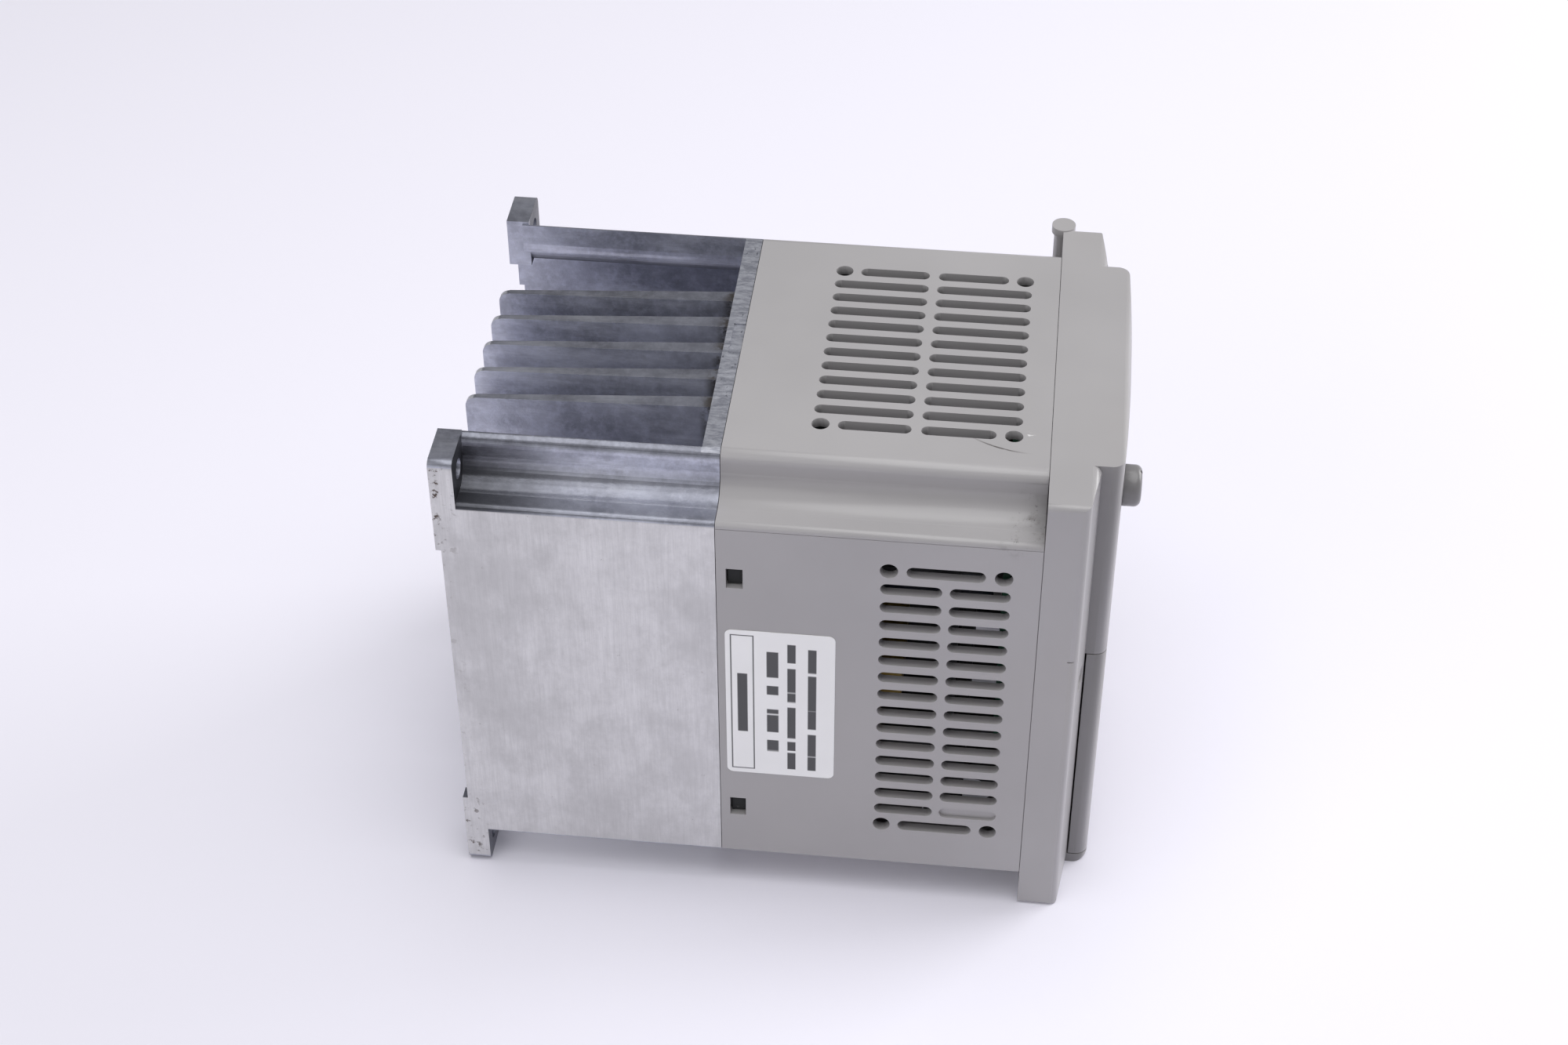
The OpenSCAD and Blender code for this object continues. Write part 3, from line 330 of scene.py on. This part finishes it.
def cast_alloy():
    """Die-cast alloy, blue-grey and mottled, with brushed machined faces on the two flanks."""
    s = Shader("cast_alloy")
    x, y, z = (s.axis(s.place, letter) for letter in "XYZ")
    normal = s.normal()
    facing = {letter: s.axis(normal, letter) for letter in "XYZ"}
    cloud = s.noise(45, 6, 0.62)
    flow = s.noise(120, 7, 0.7, stretch=(1, 0.22, 1), shift=4.0)
    mottle = s.noise(420, 6, 0.7, shift=17.0)
    cast = s.mix(s.spread(cloud, 0.32, 0.68), CAST_DARK, CAST_GREY)
    cast = s.mix(s.spread(flow, 0.45, 0.75, 0.0, 0.65), cast, CAST_LIGHT)
    cast = s.mix(s.spread(mottle, 0.40, 0.72, 0.0, 0.4), cast, shade(CAST_GREY, 1.5))
    # painted light: faces turned along X get a lighter copy of the cast colour
    upright_painted_light = s.size_of(facing["X"], 0.8, 0.95)
    cast = s.mix(upright_painted_light, cast, s.mix(1.0, cast, (UPRIGHT_PAINTED_LIGHT_GAIN,) * 3, "MULTIPLY"))
    # in the two coves: a painted highlight lifts the cast colour, then soot and painted shade darken it
    # towards the feet
    cove = s.all_of(s.size_of(x, COVE_X, COVE_X + 0.0003), s.spread(z, COVE_FOOT_Z, COVE_FOOT_Z + 0.0005),
                    s.spread(y, FOOT_FRONT_Y - 0.0001, FOOT_FRONT_Y, 1.0, 0.0))
    cast = s.mix(cove, cast, s.mix(1.0, cast, (COVE_PAINTED_LIGHT_GAIN,) * 3, "MULTIPLY"))
    # soot partly, painted shade partly: darkest near the feet
    soot_and_shade = s.all_of(cove, s.spread(y, SOOT_AND_SHADE_START_Y, FOOT_FRONT_Y - 0.0015),
                     s.spread(cloud, 0.25, 0.6, 0.75, 1.0))
    cast = s.mix(s.all_of(soot_and_shade, 0.95), cast, shade(CAST_DARK, 0.3))
    # dirt where the fins meet the plate
    between = s.none_of(s.size_of(x, FIN_REGION_X, FIN_REGION_X + 0.0003))
    root = s.all_of(between, s.spread(y, PLATE_REAR_Y - 0.0002, PLATE_REAR_Y + 0.0001),
                    s.spread(y, PLATE_REAR_Y + 0.0008, PLATE_REAR_Y + 0.0040, 1.0, 0.0),
                    s.spread(s.noise(300, 5, 0.7, shift=21.0), 0.38, 0.55))
    off_plate = s.none_of(s.all_of(s.size_of(facing["Y"], 0.8, 0.95), 0.85))
    upper_end = s.spread(z, 0.030, 0.058, 0.3, 1.0)
    cast = s.mix(s.all_of(root, off_plate, upper_end, 0.85), cast, DIRT_BROWN)
    # top of the plate: scraped bare, with nicks across it
    plate_top = s.all_of(s.spread(y, PLATE_REAR_Y, PLATE_REAR_Y + 0.0003, 1.0, 0.0),
                         s.spread(z, PLATE_TOP_Z, PLATE_TOP_Z + 0.0001))
    scrape = s.noise(700, 6, 0.75, stretch=(1, 0.35, 1), shift=23.0)
    scraped = s.mix(s.spread(scrape, 0.35, 0.65), shade(CAST_GREY, 0.85), CAST_LIGHT)
    nicks = s.spread(s.noise(650, 4, 0.6, stretch=(0.5, 1, 1), shift=27.0), 0.62, 0.68)
    scraped = s.mix(nicks, scraped, CAST_DARK)
    cast = s.mix(plate_top, cast, scraped)
    # bright line along the fins' edges and the plate's edges: wear partly, painted highlight partly
    slant_x = s.all_of(s.size_of(facing["X"], 0.15, 0.3), s.size_of(facing["Z"], 0.15, 0.3))
    slant_y = s.all_of(s.size_of(facing["Y"], 0.15, 0.3), s.none_of(s.size_of(facing["Y"], 0.9, 0.97)))
    wear_and_highlight = s.math("MAXIMUM", s.all_of(slant_x, between), slant_y)
    wear_and_highlight = s.all_of(wear_and_highlight, s.spread(s.noise(350, 4, 0.6, shift=31.0), 0.3, 0.55, 0.35, 1.0))
    cast = s.mix(wear_and_highlight, cast, WORN_EDGE_AND_HIGHLIGHT)
    # machined flanks: brushed up and down, with grey stains and dark nicks along the rear edge
    streaks = s.noise(1100, 5, 0.7, stretch=(1, 1, 0.06), shift=2.0)
    hairs = s.noise(2600, 3, 0.6, stretch=(1, 1, 0.05), shift=33.0)
    stains = s.noise(30, 7, 0.7, stretch=(1, 1, 0.7), shift=9.0)
    patches = s.noise(110, 7, 0.75, shift=5.0)
    bright = s.mix(s.spread(streaks, 0.3, 0.7), shade(MACHINED_GREY, 0.90), shade(MACHINED_GREY, 1.05))
    bright = s.mix(s.spread(hairs, 0.35, 0.7, 0.0, 0.4), bright, shade(MACHINED_GREY, 1.18))
    bright = s.mix(s.spread(patches, 0.42, 0.66, 0.0, 0.45), bright, shade(MACHINED_GREY, 0.74))
    bright = s.mix(s.spread(stains, 0.42, 0.62, 0.0, 0.5), bright, shade(MACHINED_GREY, 0.66))
    flank = s.all_of(s.size_of(facing["X"], 0.95, 0.99), s.size_of(x, FLANK_X - 0.0001, FLANK_X + 0.0001))
    rear_edge = s.spread(y, *REAR_WEAR_Y)
    pitted = s.noise(420, 5, 0.7, shift=6.0)
    ends = s.size_of(z, *END_WEAR_Z)
    rust = s.math("MAXIMUM", s.all_of(s.spread(pitted, 0.56, 0.64), rear_edge, s.math("ADD", 0.25, ends)),
                  s.all_of(s.spread(pitted, 0.66, 0.70), 0.5))
    colour = s.mix(flank, cast, bright)
    colour = s.mix(s.all_of(rust, flank, 0.85), colour, PIT_BROWN)
    rough = s.math("ADD", s.spread(cloud, 0.2, 0.8, 0.28, 0.44), s.all_of(flank, 0.08))
    rough = s.math("ADD", rough, s.all_of(plate_top, 0.15))
    pits = s.noise(700, 5, 0.7, shift=8.0)
    lumps = s.noise(120, 4, 0.6, shift=12.0)
    height = s.all_of(s.math("ADD", pits, s.math("MULTIPLY", lumps, 2.0)), s.none_of(flank))
    relief = s.bump(height, 0.00014, 0.55)
    relief = s.bump(s.all_of(scrape, plate_top), 0.00012, 0.6, relief)
    relief = s.bump(s.all_of(streaks, flank), 0.00002, 0.7, relief)
    return s.finish(colour, rough, relief, metallic=0.55)


DUST = (0.35, 0.34, 0.32)
BOARD_GREEN = (0.008, 0.060, 0.030)
COPPER_DARK = (0.30, 0.11, 0.04)
COPPER_LIGHT = (0.55, 0.24, 0.10)
LABEL_WHITE = (0.90, 0.90, 0.905)
LABEL_BRIGHT = (0.94, 0.94, 0.945)
LABEL_INK = (0.07, 0.07, 0.075)
# on the label: distances from its front edge and from its lower edge
LABEL_FRAME = (0.0012, 0.0068, 0.0014, 0.0453)
LABEL_LINE = 0.0003
LABEL_HEADING = (0.0028, 0.0052, 0.0140, 0.0330)
LABEL_BARS = ((0.0098, 0.0126, 0.0060, 0.0405), (0.0147, 0.0167, 0.0022, 0.0432),
              (0.0196, 0.0216, 0.0022, 0.0420))
FLOOR_DARK = (0.862, 0.846, 0.940)
FLOOR_LIGHT = (0.878, 0.862, 0.955)
FLOOR_GLOW = (0.90, 0.89, 0.97, 1)
FLOOR_GLOW_STRENGTH = 0.06


def plain_metal(name, colour, roughness):
    s = Shader(name)
    grain = s.noise(400, 4, 0.6)
    base = s.mix(s.spread(grain, 0.3, 0.7), shade(colour, 0.86), shade(colour, 1.06))
    rough = s.spread(s.noise(150, 3, shift=2.0), 0.3, 0.7, roughness * 0.85, roughness * 1.25)
    return s.finish(base, rough, s.bump(grain, 0.00003, 0.4), metallic=1.0)


def moulded(name, colour, roughness, texture=0.5):
    s = Shader(name)
    clouds = s.noise(60, 3)
    base = s.mix(s.spread(clouds, 0.3, 0.7), shade(colour, 0.9), shade(colour, 1.08))
    dust = s.spread(s.noise(900, 4, 0.7, shift=3.0), 0.62, 0.75, 0.0, 0.25)
    base = s.mix(dust, base, DUST)
    rough = s.spread(clouds, 0.2, 0.8, roughness * 0.9, roughness * 1.1)
    return s.finish(base, rough, s.bump(s.noise(2200, 2), 0.00002, texture))


def circuit_board():
    s = Shader("board")
    patches = s.spread(s.cells(240, stretch=(1, 1, 0.3)), 0.32, 0.36)
    base = s.mix(patches, shade(BOARD_GREEN, 1.9), BOARD_GREEN)
    base = s.mix(s.spread(s.noise(70, 3), 0.3, 0.7, 0.0, 0.4), base, shade(BOARD_GREEN, 0.6))
    return s.finish(base, 0.32, s.bump(patches, 0.00004, 0.5))


def label_paper():
    """White label; a frame and plain bars stand where print would be, without any lettering."""
    s = Shader("label")
    low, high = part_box("side_label")
    y = s.axis(s.place, "Y")
    z = s.axis(s.place, "Z")

    def band(value, start, end):
        soft = 0.00012
        rising = s.spread(value, start - soft, start + soft)
        return s.math("MULTIPLY", rising, s.spread(value, end - soft, end + soft, 1.0, 0.0))

    def patch(y0, y1, z0, z1):
        return s.math("MULTIPLY", band(y, high.y - y1, high.y - y0), band(z, low.z + z0, low.z + z1))

    y0, y1, z0, z1 = LABEL_FRAME
    inside = patch(y0 + LABEL_LINE, y1 - LABEL_LINE, z0 + LABEL_LINE, z1 - LABEL_LINE)
    ink = s.math("SUBTRACT", patch(*LABEL_FRAME), inside)
    ink = s.math("ADD", ink, patch(*LABEL_HEADING))
    for bar in LABEL_BARS:
        gaps = s.spread(s.noise(330, 1, 0.3, stretch=(0, 0, 1), shift=bar[0] * 900), 0.40, 0.44)
        ink = s.math("ADD", ink, s.math("MULTIPLY", patch(*bar), gaps), clamp=True)
    white = s.mix(s.spread(s.noise(40, 3), 0.3, 0.7), LABEL_WHITE, LABEL_BRIGHT)
    base = s.mix(ink, white, LABEL_INK)
    return s.finish(base, 0.42, s.bump(s.noise(500, 3), 0.00002, 0.3))


def smoked_window(name, colour, roughness):
    s = Shader(name)
    base = s.mix(s.spread(s.noise(90, 3), 0.3, 0.7), shade(colour, 0.9), shade(colour, 1.1))
    rough = s.spread(s.noise(400, 5, 0.7, shift=2.0), 0.4, 0.75, roughness, roughness * 2.2)
    s.bsdf.inputs["Coat Weight"].default_value = 0.4
    s.bsdf.inputs["Coat Roughness"].default_value = 0.06
    return s.finish(base, rough)


def wound_copper():
    s = Shader("copper")
    rings = s.noise(1500, 2, stretch=(1, 0.1, 1))
    base = s.mix(s.spread(rings, 0.3, 0.7), COPPER_DARK, COPPER_LIGHT)
    return s.finish(base, 0.35, s.bump(rings, 0.0001, 0.5), metallic=0.9)


def floor_paper():
    s = Shader("floor")
    base = s.mix(s.spread(s.noise(1.2, 2), 0.3, 0.7), FLOOR_DARK, FLOOR_LIGHT)
    s.bsdf.inputs["Emission Color"].default_value = FLOOR_GLOW
    s.bsdf.inputs["Emission Strength"].default_value = FLOOR_GLOW_STRENGTH
    return s.finish(base, 0.75, s.bump(s.noise(500, 3), 0.00002, 0.2))


MATERIALS = {
    "cast_alloy": cast_alloy(),
    "dark_plastic": moulded("dark_plastic", (0.012, 0.013, 0.014), 0.75),
    "steel": plain_metal("steel", (0.55, 0.55, 0.54), 0.30),
    "pad": moulded("pad", (0.40, 0.41, 0.43), 0.8),
    "black_plastic": moulded("black_plastic", (0.018, 0.018, 0.020), 0.45),
    "tinned": plain_metal("tinned", (0.68, 0.68, 0.66), 0.28),
    "board": circuit_board(),
    "brass": plain_metal("brass", (0.60, 0.45, 0.20), 0.30),
    "capacitor_sleeve": moulded("capacitor_sleeve", (0.015, 0.020, 0.035), 0.30, 0.1),
    "film_case": moulded("film_case", (0.45, 0.30, 0.06), 0.5),
    "ferrite": moulded("ferrite", (0.03, 0.03, 0.032), 0.6),
    "copper": wound_copper(),
    "winding_tape": moulded("winding_tape", (0.50, 0.38, 0.08), 0.35, 0.1),
    "relay_case": moulded("relay_case", (0.17, 0.16, 0.14), 0.45),
    "red_lens": smoked_window("red_lens", (0.35, 0.02, 0.015), 0.15),
    "green_plastic": moulded("green_plastic", (0.015, 0.12, 0.045), 0.45),
    "case_plastic": case_plastic(),
    "label": label_paper(),
    "bezel_plastic": moulded("bezel_plastic", (0.030, 0.034, 0.042), 0.5),
    "display_window": smoked_window("display_window", (0.045, 0.004, 0.006), 0.08),
    "knob_plastic": moulded("knob_plastic", (0.215, 0.210, 0.214), 0.30),
    "green_key": moulded("green_key", (0.03, 0.16, 0.06), 0.5),
    "red_key": moulded("red_key", (0.36, 0.02, 0.015), 0.5),
    "grey_key": moulded("grey_key", (0.11, 0.115, 0.125), 0.5),
    "key_print": moulded("key_print", (0.62, 0.62, 0.60), 0.5, 0.2),
}

# ---------- CAD nodes: material, rounded edges ----------

EDGE_ROUNDING = {
    "heat_sink": 0.25 * MM,
    "body_housing": 0.22 * MM,
    "front_cover": 0.30 * MM,
    "keypad_door": 0.30 * MM,
    "speed_knob": 0.15 * MM,
}
SMALL_ROUNDING = 0.12 * MM
WELD_REACH = 0.001 * MM
FLAT_ANGLE = math.radians(0.3)
SHARP_ANGLE = math.radians(35)


def dress(name, material):
    """Gives a CAD node its material and rounds its sharp edges with modifiers."""
    piece = nodes[name]
    piece.data.materials.clear()
    piece.data.materials.append(material)
    weld = piece.modifiers.new("weld", "WELD")
    weld.merge_threshold = WELD_REACH
    flat = piece.modifiers.new("flat", "DECIMATE")
    flat.decimate_type = "DISSOLVE"
    flat.angle_limit = FLAT_ANGLE
    soft = piece.modifiers.new("soft", "BEVEL")
    soft.width = EDGE_ROUNDING.get(name, SMALL_ROUNDING)
    soft.segments = 2
    soft.limit_method = "ANGLE"
    soft.angle_limit = SHARP_ANGLE
    soft.harden_normals = True


for subpart in frame["record"]["subparts"]:
    dress(subpart["node"], MATERIALS[subpart["material_slot"]])

# ---------- marks on the keys ----------

MARK_RELIEF = 0.06 * MM


def new_piece(name, shape, materials, body, rounding):
    """Object made from a bmesh, with softened edges, riding on a body of the frame."""
    mesh = bpy.data.meshes.new(name)
    bmesh.ops.recalc_face_normals(shape, faces=shape.faces)
    shape.to_mesh(mesh)
    shape.free()
    for material in materials:
        mesh.materials.append(material)
    piece = bpy.data.objects.new(name, mesh)
    bpy.context.scene.collection.objects.link(piece)
    soft = piece.modifiers.new("soft", "BEVEL")
    soft.width = rounding
    soft.segments = 2
    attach(piece, body)
    return piece


def prism(shape, outline, rear, front):
    """Solid over an outline in X and Z, from y = rear to y = front."""
    ends = [[shape.verts.new((x, y, z)) for x, z in outline] for y in (rear, front)]
    for end in ends:
        shape.faces.new(end)
    for i in range(len(outline)):
        j = (i + 1) % len(outline)
        shape.faces.new((ends[0][i], ends[0][j], ends[1][j], ends[1][i]))


def band(shape, centre, outer, inner, sides, start, rear, front):
    """Closed band between two regular outlines round a centre, made of one prism per side."""
    def corner(radius, k):
        angle = start + math.tau * k / sides
        return centre[0] + radius * math.cos(angle), centre[1] + radius * math.sin(angle)
    loops = [[[shape.verts.new((corner(r, k)[0], y, corner(r, k)[1])) for k in range(sides)]
              for r in (outer, inner)] for y in (rear, front)]
    for k in range(sides):
        n = (k + 1) % sides
        (a_out, a_in), (b_out, b_in) = loops
        for face in ((a_out[k], a_out[n], a_in[n], a_in[k]), (b_out[k], b_out[n], b_in[n], b_in[k]),
                     (a_out[k], a_out[n], b_out[n], b_out[k]), (a_in[k], a_in[n], b_in[n], b_in[k])):
            shape.faces.new(face)


def key_mark(key, draw):
    """Plain raised sign on a key: draw gets the shape, the key's middle and the mark's two planes."""
    low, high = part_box(key)
    middle = ((low.x + high.x) / 2, (low.z + high.z) / 2)
    shape = bmesh.new()
    draw(shape, middle, low.y + MARK_RELIEF / 2, low.y - MARK_RELIEF)
    new_piece(key + "_mark", shape, [MATERIALS["key_print"]], key + "_body", MARK_RELIEF / 4)


def upright_bar(shape, at, rear, front):
    half_w, half_h = 0.6 * MM, 2.4 * MM
    prism(shape, [(at[0] - half_w, at[1] - half_h), (at[0] + half_w, at[1] - half_h),
                  (at[0] + half_w, at[1] + half_h), (at[0] - half_w, at[1] + half_h)], rear, front)


def ring_mark(shape, at, rear, front):
    band(shape, at, 2.5 * MM, 1.6 * MM, 32, 0, rear, front)


def square_mark(shape, at, rear, front):
    band(shape, at, 2.4 * MM, 1.5 * MM, 4, math.pi / 4, rear, front)


def triangle_mark(turn):
    def draw(shape, at, rear, front):
        radius = 2.2 * MM
        prism(shape, [(at[0] + radius * math.cos(turn + math.tau * k / 3),
                       at[1] + radius * math.sin(turn + math.tau * k / 3)) for k in range(3)], rear, front)
    return draw


def dot_mark(shape, at, rear, front):
    radius, sides = 1.4 * MM, 24
    prism(shape, [(at[0] + radius * math.cos(math.tau * k / sides),
                   at[1] + radius * math.sin(math.tau * k / sides)) for k in range(sides)], rear, front)


for key, draw in (("run_key", upright_bar), ("stop_key", ring_mark), ("function_key", square_mark),
                  ("up_key", triangle_mark(math.pi / 2)), ("down_key", triangle_mark(-math.pi / 2)),
                  ("store_key", dot_mark)):
    key_mark(key, draw)

# ---------- small parts on the boards ----------

PLASTIC_FACE, METAL_FACE = 0, 1
CHIP_T = 1.5 * MM
CHIP_LIFT = 0.1 * MM
LEG_PITCH = 1.27 * MM
LEG_OUT = 1.0 * MM
LEG_RISE = 0.6 * MM
LEG_HALF_W = 0.2 * MM
LEG_ROOT = 0.1 * MM
FOOT_T = 0.8 * MM
PART_ROUNDING = 0.06 * MM


def box_shape(shape, low, high, material):
    """Box between two corners, its faces given one of the piece's materials."""
    made = bmesh.ops.create_cube(shape, size=1)
    middle = (Vector(low) + Vector(high)) / 2
    span = Vector(high) - Vector(low)
    for vert in made["verts"]:
        vert.co = Vector([middle[k] + vert.co[k] * span[k] for k in range(3)])
    for face in {f for vert in made["verts"] for f in vert.link_faces}:
        face.material_index = material


def chip(shape, board_y, x, z, width, height):
    """Flat chip with two rows of legs on a board whose front is at board_y."""
    half_w, half_h = width / 2, height / 2
    box_shape(shape, (x - half_w, board_y - CHIP_T, z - half_h),
              (x + half_w, board_y - CHIP_LIFT, z + half_h), PLASTIC_FACE)
    count = int(width / LEG_PITCH) - 1
    for k in range(count):
        u = x + (k - (count - 1) / 2) * LEG_PITCH
        for side in (-1, 1):
            inner, outer = sorted((z + side * (half_h - LEG_ROOT), z + side * (half_h + LEG_OUT)))
            box_shape(shape, (u - LEG_HALF_W, board_y - LEG_RISE, inner),
                      (u + LEG_HALF_W, board_y, outer), METAL_FACE)


def resistor(shape, board_y, x, z):
    """Chip resistor with metal ends."""
    half_l, half_w, thick, cap = 1.0 * MM, 0.6 * MM, 0.5 * MM, 0.3 * MM
    box_shape(shape, (x - half_l + cap, board_y - thick, z - half_w),
              (x + half_l - cap, board_y, z + half_w), PLASTIC_FACE)
    for side in (-1, 1):
        inner, outer = sorted((x + side * (half_l - cap), x + side * half_l))
        box_shape(shape, (inner, board_y - thick, z - half_w), (outer, board_y, z + half_w), METAL_FACE)


def can(shape, board_y, x, z, radius, height):
    """Small can capacitor on a square foot."""
    reach = radius * 1.05
    can_radius = radius * 0.96
    length = height - FOOT_T
    box_shape(shape, (x - reach, board_y - FOOT_T, z - reach), (x + reach, board_y, z + reach), PLASTIC_FACE)
    middle = Matrix.Translation((x, board_y - FOOT_T - length / 2, z))
    made = bmesh.ops.create_cone(shape, cap_ends=True, segments=24, radius1=can_radius, radius2=can_radius,
                                 depth=length, matrix=middle @ Matrix.Rotation(math.pi / 2, 4, "X"))
    for face in {f for vert in made["verts"] for f in vert.link_faces}:
        face.material_index = METAL_FACE


def populate(name, board, chips, cans, rows):
    """Chips, cans and rows of resistors on the front of a board; places and sizes in mm."""
    board_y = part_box(board)[0].y
    shape = bmesh.new()
    for x, z, width, height in chips:
        chip(shape, board_y, x * MM, z * MM, width * MM, height * MM)
    for x, z, radius, height in cans:
        can(shape, board_y, x * MM, z * MM, radius * MM, height * MM)
    for x, z, count, step in rows:
        for k in range(count):
            resistor(shape, board_y, (x + k * step) * MM, z * MM)
    new_piece(name, shape, [MATERIALS["black_plastic"], MATERIALS["tinned"]], "drive_body",
              PART_ROUNDING)


populate("control_board_parts", "control_board",
         chips=((-33, 30, 10, 6), (-33, 16, 8, 5), (29, 33, 10, 6), (30, 16, 8, 6)),
         cans=((-14, 34, 2.5, 5), (-20, 34, 2.5, 5), (6, 35, 2, 4)),
         rows=((-42, 4, 10, 3.3), (-42, 1, 10, 3.3), (21, 4, 5, 3.3), (-24, 22, 4, 3.3), (21, 24, 5, 3.3)))
populate("power_board_parts", "power_board",
         chips=((-36, -18, 9, 5), (14, -20, 7, 4)),
         cans=((45.5, 10, 2.2, 6), (45.5, 16, 2.2, 6)),
         rows=((-44, -12, 5, 3.3), (-28, -22, 3, 3.3), (22, -18, 5, 3.3)))

# ---------- floor and light ----------


def add_floor():
    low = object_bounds()[0].z
    mesh = bpy.data.meshes.new("floor")
    corners = ((-1, -1), (1, -1), (1, 1), (-1, 1))
    mesh.from_pydata([(x * FLOOR_REACH, y * FLOOR_REACH, low) for x, y in corners], [], [(0, 1, 2, 3)])
    mesh.materials.append(floor_paper())
    floor = bpy.data.objects.new("floor", mesh)
    bpy.context.scene.collection.objects.link(floor)


add_floor()
add_camera()
add_world(WORLD_COLOUR, WORLD_STRENGTH)
for light_row in LIGHTS:
    add_area_light(*light_row)
bpy.context.scene.view_settings.view_transform = "Standard"
